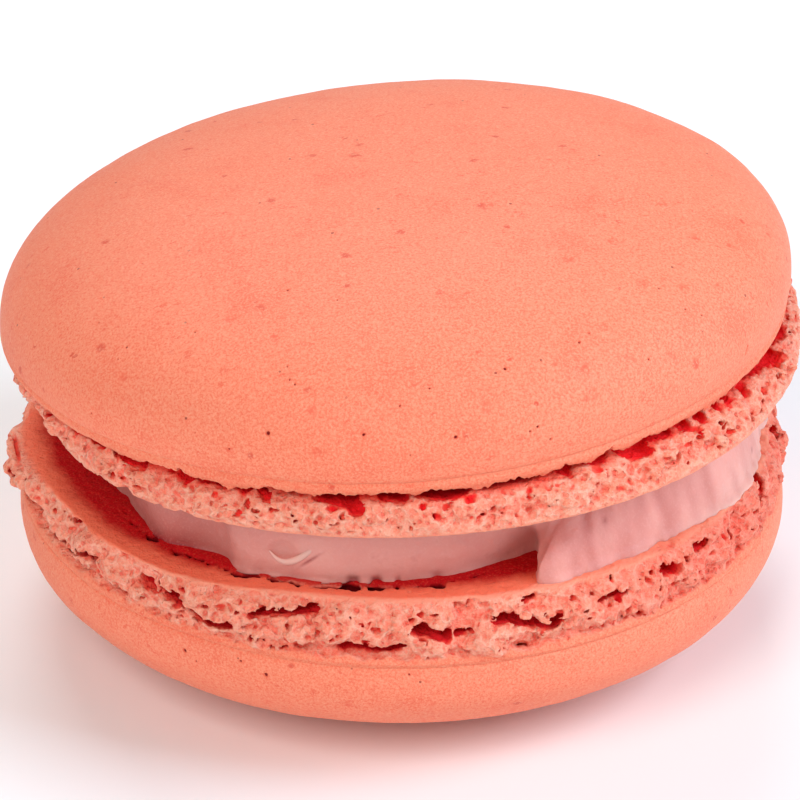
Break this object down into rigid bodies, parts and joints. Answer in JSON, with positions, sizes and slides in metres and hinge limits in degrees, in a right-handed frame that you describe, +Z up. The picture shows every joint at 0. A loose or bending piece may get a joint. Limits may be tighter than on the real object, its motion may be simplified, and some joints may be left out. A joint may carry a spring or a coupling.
{
  "type": "french macaron",
  "caption": "Round filled meringue biscuit: two smooth domed shells with ruffled, porous feet and a thick layer of cream between their flat faces.",
  "frame": {"origin": "middle of the small flat spot on the lower shell's dome, on which the macaron rests", "axes": "+Z up through both shells, -Y towards the front, where the cream steps out to the rim on the right, +X to the right"},
  "size_m": [0.0454, 0.0453, 0.028],
  "materials": {
    "bottom_shell": "matt baked almond meringue, coral, fine-grained skin and porous foot",
    "filling": "soft satin cream, muted pink",
    "top_shell": "matt baked almond meringue, coral, fine-grained skin and porous foot"
  },
  "bodies": {
    "root": {"bottom_shell": "bottom_shell", "filling": "filling", "top_shell": "top_shell"}
  },
  "joints": []
}
